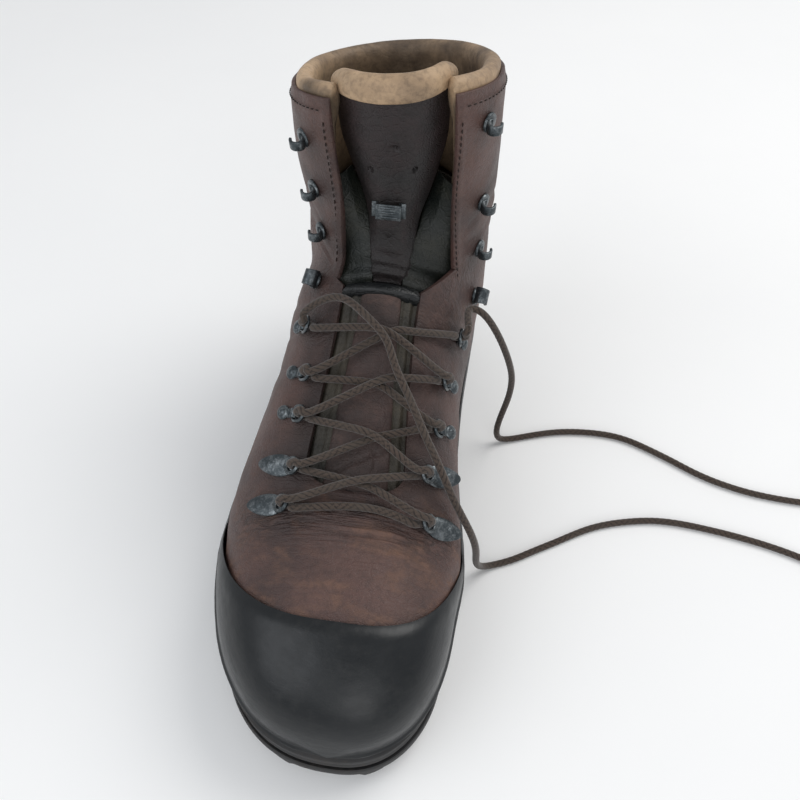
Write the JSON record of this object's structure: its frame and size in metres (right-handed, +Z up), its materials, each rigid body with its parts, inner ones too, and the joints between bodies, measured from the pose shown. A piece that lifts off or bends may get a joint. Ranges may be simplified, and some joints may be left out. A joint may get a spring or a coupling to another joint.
{
  "type": "mountaineering boot",
  "caption": "Single laced high-cut mountaineering boot with rubber rand, lugged sole, swivelling lace rings, opening collar flaps and a folding tongue.",
  "frame": {"origin": "on the floor, below the middle of the boot's box without its loose lace ends", "axes": "+Z up, the toe points along -Y, the foot's inner (medial) side along +X"},
  "size_m": [0.3684, 0.307, 0.2439],
  "materials": {
    "leather": "waxed reddish brown, scuffed",
    "tongue_leather": "oiled dark brown",
    "gusset_leather": "soft olive grey",
    "lining_leather": "soft tan, matt",
    "lining_fabric": "woven, matt",
    "rand_rubber": "satin black",
    "sole_rubber": "matt black",
    "stiffener": "fibreboard, matt",
    "footbed_foam": "felted foam, matt",
    "shank_steel": "rolled",
    "hardware": "worn gunmetal plating",
    "lace": "round braid, dark brown",
    "aglet": "semi-gloss"
  },
  "bodies": {
    "root": {"outsole": "sole_rubber", "midsole": "sole_rubber", "insole_board": "stiffener", "shank": "shank_steel", "toe_rand": "rand_rubber", "side_rand_lateral": "rand_rubber", "side_rand_medial": "rand_rubber", "heel_rand": "rand_rubber", "vamp": "leather", "quarter_lateral": "leather", "quarter_medial": "leather", "lining_lateral": "lining_fabric", "lining_medial": "lining_fabric", "toe_puff": "stiffener", "heel_counter": "stiffener", "shaft_back": "leather", "collar_back": "lining_leather", "backstay": "leather", "tongue_lower": "tongue_leather", "gusset_lateral": "gusset_leather", "gusset_medial": "gusset_leather", "lace_threaded": "lace", "lace_tail_lateral": "lace", "lace_tail_medial": "lace", "lace_coil": "lace", "aglet_lateral": "aglet", "aglet_medial": "aglet", "eyelet_lateral_1": "hardware", "eyelet_lateral_2": "hardware", "ring_clip_lateral_3": "hardware", "ring_clip_lateral_4": "hardware", "ring_clip_lateral_5": "hardware", "lock_hook_lateral": "hardware", "eyelet_medial_1": "hardware", "eyelet_medial_2": "hardware", "ring_clip_medial_3": "hardware", "ring_clip_medial_4": "hardware", "ring_clip_medial_5": "hardware", "lock_hook_medial": "hardware"},
    "footbed": {"footbed": "footbed_foam"},
    "tongue": {"tongue_upper": "tongue_leather", "tongue_roll": "lining_leather", "lace_keeper": "hardware"},
    "flap_lateral": {"flap_lateral": "leather", "flap_pad_lateral": "lining_leather", "hook_lateral_7": "hardware", "hook_lateral_8": "hardware", "hook_lateral_9": "hardware"},
    "ring_lateral_3": {"lace_ring_lateral_3": "hardware"},
    "ring_lateral_4": {"lace_ring_lateral_4": "hardware"},
    "ring_lateral_5": {"lace_ring_lateral_5": "hardware"},
    "flap_medial": {"flap_medial": "leather", "flap_pad_medial": "lining_leather", "hook_medial_7": "hardware", "hook_medial_8": "hardware", "hook_medial_9": "hardware"},
    "ring_medial_3": {"lace_ring_medial_3": "hardware"},
    "ring_medial_4": {"lace_ring_medial_4": "hardware"},
    "ring_medial_5": {"lace_ring_medial_5": "hardware"}
  },
  "joints": [
    {"name": "tongue_fold", "type": "hinge", "parent": "root", "child": "tongue", "pos_m": [0.008, 0.02716, 0.14364], "axis": [1, 0, 0], "range_deg": [0, 28], "deforming": ["gusset_lateral", "gusset_medial"]},
    {"name": "flap_open_lateral", "type": "hinge", "parent": "root", "child": "flap_lateral", "pos_m": [-0.04118, 0.0935, 0.13845], "axis": [0, 0.033, -0.9995], "range_deg": [0, 22], "deforming": ["gusset_lateral"]},
    {"name": "flap_open_medial", "type": "hinge", "parent": "root", "child": "flap_medial", "pos_m": [0.05264, 0.09354, 0.13845], "axis": [0, -0.0288, 0.9996], "range_deg": [0, 22], "deforming": ["gusset_medial"]},
    {"name": "footbed_lift", "type": "hinge", "parent": "root", "child": "footbed", "pos_m": [0.012, -0.141, 0.037], "axis": [1, 0, 0], "range_deg": [0, 5]},
    {"name": "ring_swivel_lateral_3", "type": "hinge", "parent": "root", "child": "ring_lateral_3", "pos_m": [-0.02645, -0.02403, 0.10005], "axis": [-0.0894, -0.8604, -0.5018], "range_deg": [-8, 20], "deforming": ["lace_threaded"]},
    {"name": "ring_swivel_lateral_4", "type": "hinge", "parent": "root", "child": "ring_lateral_4", "pos_m": [-0.02621, -0.00629, 0.10897], "axis": [-0.1041, -0.8517, -0.5136], "range_deg": [-8, 20], "deforming": ["lace_threaded"]},
    {"name": "ring_swivel_lateral_5", "type": "hinge", "parent": "root", "child": "ring_lateral_5", "pos_m": [-0.02961, 0.01681, 0.1171], "axis": [-0.0542, -0.8348, -0.5478], "range_deg": [-8, 20], "deforming": ["lace_threaded", "lace_tail_lateral"]},
    {"name": "ring_swivel_medial_3", "type": "hinge", "parent": "root", "child": "ring_medial_3", "pos_m": [0.04229, -0.01877, 0.09486], "axis": [-0.1017, 0.8734, 0.4762], "range_deg": [-8, 20], "deforming": ["lace_threaded"]},
    {"name": "ring_swivel_medial_4", "type": "hinge", "parent": "root", "child": "ring_medial_4", "pos_m": [0.04225, 0.00337, 0.10316], "axis": [-0.0522, 0.8772, 0.4772], "range_deg": [-8, 20], "deforming": ["lace_threaded"]},
    {"name": "ring_swivel_medial_5", "type": "hinge", "parent": "root", "child": "ring_medial_5", "pos_m": [0.04568, 0.02817, 0.1086], "axis": [0.0589, 0.8522, 0.5199], "range_deg": [-8, 20], "deforming": ["lace_threaded", "lace_tail_medial"]}
  ]
}
